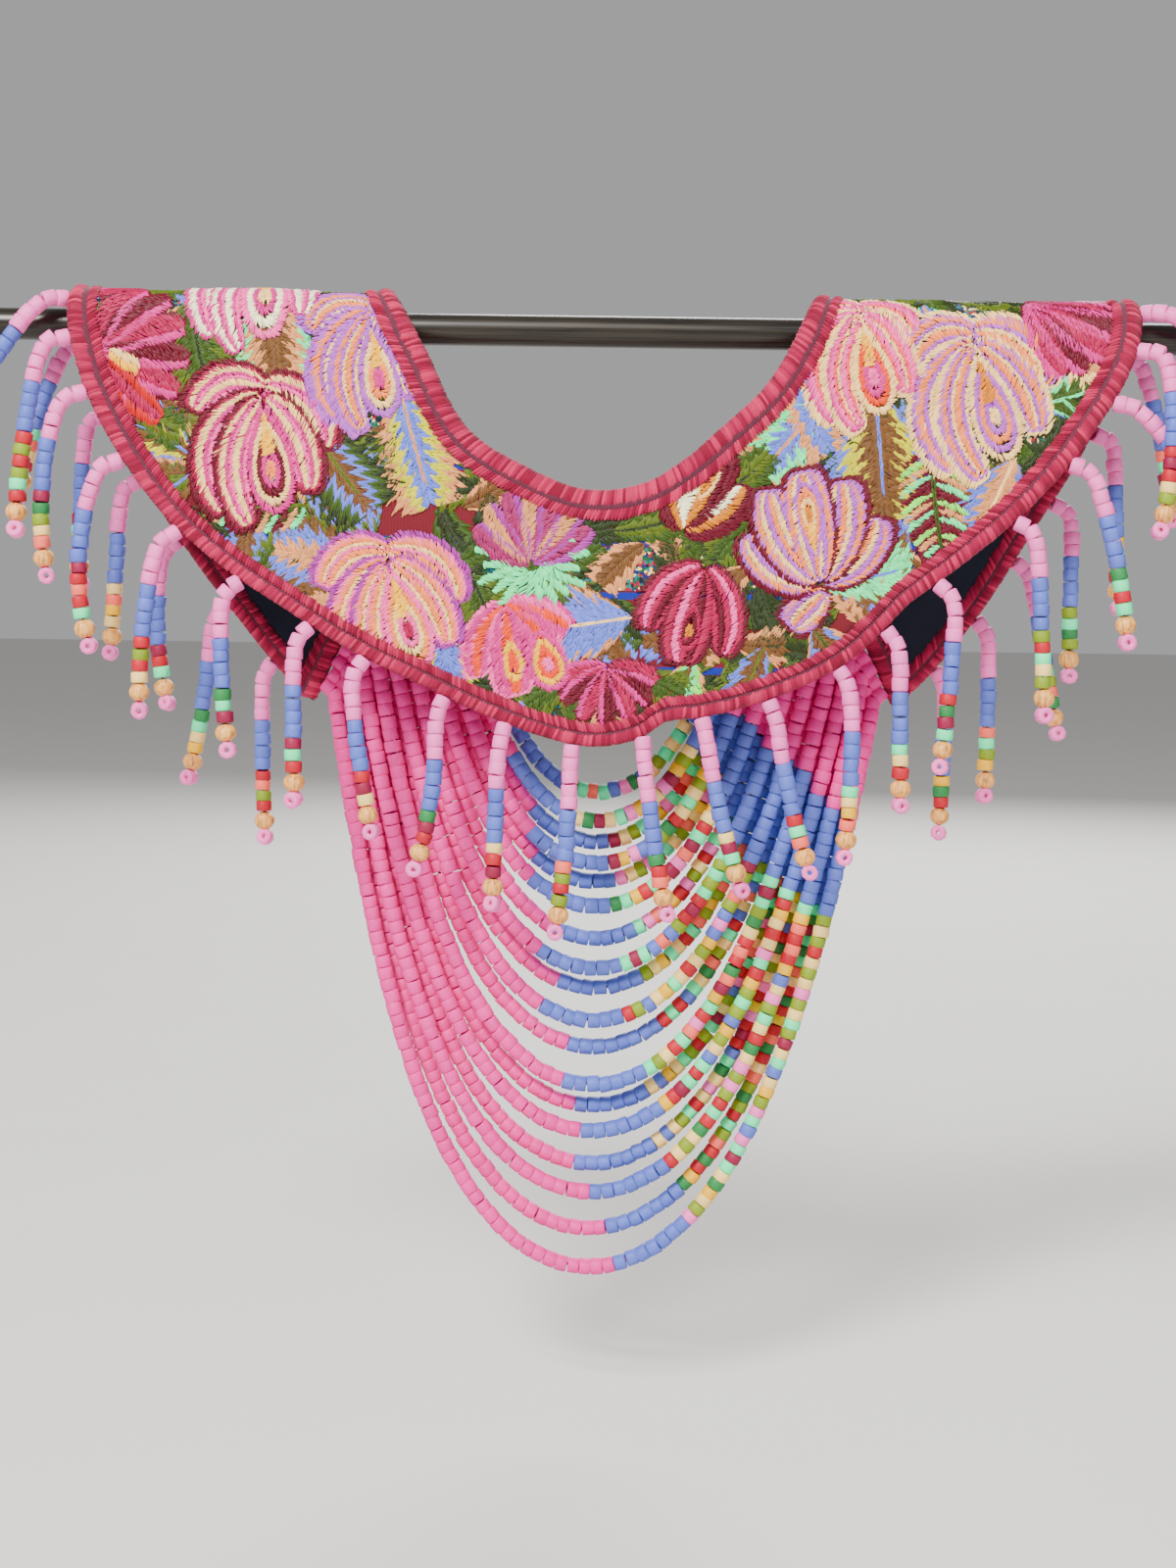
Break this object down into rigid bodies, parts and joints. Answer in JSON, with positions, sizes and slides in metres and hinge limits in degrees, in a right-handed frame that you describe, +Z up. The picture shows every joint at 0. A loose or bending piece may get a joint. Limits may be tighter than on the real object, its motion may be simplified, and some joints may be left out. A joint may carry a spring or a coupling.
{
  "type": "embroidered shoulder cape with a bead fringe, hung over a rod",
  "caption": "Crescent shoulder cape of embroidered cloth with a yarn edge band, a bead fringe and a swag of bead strands, folded over a plain rod",
  "frame": {"origin": "on the rod's axis, midway along the cape", "axes": "+X along the rod to the viewer's right, +Y to the back, where the two arms hang, +Z up"},
  "size_m": [0.52, 0.0562, 0.387],
  "materials": {
    "rod": "satin",
    "embroidered_cloth": "matte",
    "lining": "matte",
    "band": "matte",
    "beads": "matte"
  },
  "bodies": {
    "root": {"rod": "rod", "yoke_cloth": "embroidered_cloth", "yoke_lining": "lining", "neck_band": "band", "hem_band": "band", "left_end_band": "band", "right_end_band": "band", "front_fringe": "beads", "left_fringe": "beads", "right_fringe": "beads", "bead_swag": "beads"}
  },
  "joints": []
}
